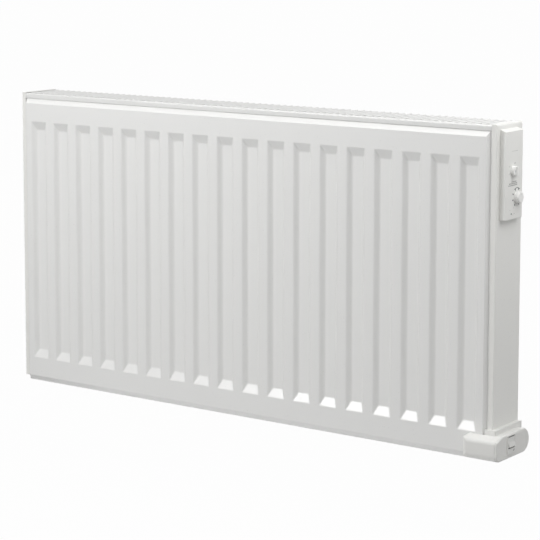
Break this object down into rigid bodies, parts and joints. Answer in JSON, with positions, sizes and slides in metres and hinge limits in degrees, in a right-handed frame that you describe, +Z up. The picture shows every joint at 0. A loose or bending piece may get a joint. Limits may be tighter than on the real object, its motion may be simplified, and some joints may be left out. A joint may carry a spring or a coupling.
{
  "type": "electric panel heater",
  "caption": "Wall-hung liquid-filled electric panel heater: ribbed steel front, slotted top grille, side covers, control box with two dials, and a corner connection box with a rocker switch.",
  "frame": {"origin": "on the wall plane, in the middle of the four screw holes of the two wall brackets", "axes": "+X along the heater to the right as seen from the room, -Y into the room, +Z up"},
  "size_m": [0.9572, 0.1198, 0.5035],
  "materials": {
    "white_enamel": "satin white powder coat",
    "white_plastic": "fine matt moulding",
    "knob_plastic": "smooth satin moulding",
    "switch_plastic": "smooth moulding",
    "dark_plastic": "dark moulding",
    "block_plastic": "natural moulding",
    "lens_plastic": "clear tinted",
    "grey_cable": "matt sheath",
    "lead_red": "silicone sleeve",
    "zinc_steel": "zinc plated",
    "element_steel": "annealed tube",
    "brass": "turned",
    "board_green": "solder mask",
    "relay_blue": "moulded case"
  },
  "bodies": {
    "heater": {"front_panel_face": "white_enamel", "front_panel_back": "white_enamel", "convector_fins": "zinc_steel", "rear_panel_face": "white_enamel", "rear_panel_back": "white_enamel", "heater_pipe": "white_enamel", "upper_link_pipes": "white_enamel", "fill_plugs": "brass", "heating_element": "element_steel", "element_plug": "brass", "element_leads": "lead_red", "thermal_cutout": "dark_plastic", "top_grille": "white_enamel", "grille_clips": "zinc_steel", "side_cover_left": "white_enamel", "side_cover_right": "white_enamel", "cover_clips": "zinc_steel", "hanger_lugs": "white_enamel", "wall_bracket_left": "zinc_steel", "wall_bracket_right": "zinc_steel", "hook_pads": "dark_plastic", "control_cover": "white_plastic", "control_tray": "white_plastic", "control_board": "board_green", "control_relay": "relay_blue", "control_screws": "zinc_steel", "mode_switch": "dark_plastic", "temperature_pot": "dark_plastic", "indicator_lens": "lens_plastic", "harness": "grey_cable", "harness_clips": "white_plastic", "connection_box": "white_plastic", "connection_end_cover": "white_plastic", "switch_body": "switch_plastic", "switch_terminals": "brass", "terminal_block": "block_plastic", "connection_screws": "zinc_steel", "cable_gland": "white_plastic", "gland_nut": "white_plastic", "room_sensor": "dark_plastic"},
    "mode_dial": {"mode_knob": "knob_plastic", "mode_shaft": "zinc_steel"},
    "temperature_dial": {"temperature_knob": "knob_plastic", "temperature_shaft": "zinc_steel"},
    "rocker_switch": {"rocker": "switch_plastic"}
  },
  "joints": [
    {"name": "mode_turn", "type": "hinge", "parent": "heater", "child": "mode_dial", "pos_m": [0.4767, -0.0645, 0.18238], "axis": [1, 0, 0], "range_deg": [-60, 60]},
    {"name": "temperature_turn", "type": "hinge", "parent": "heater", "child": "temperature_dial", "pos_m": [0.4767, -0.052, 0.14188], "axis": [1, 0, 0], "range_deg": [-135, 135]},
    {"name": "rocker_press", "type": "hinge", "parent": "heater", "child": "rocker_switch", "pos_m": [0.4849, -0.076, -0.222], "axis": [0, 1, 0], "range_deg": [0, 15]}
  ]
}
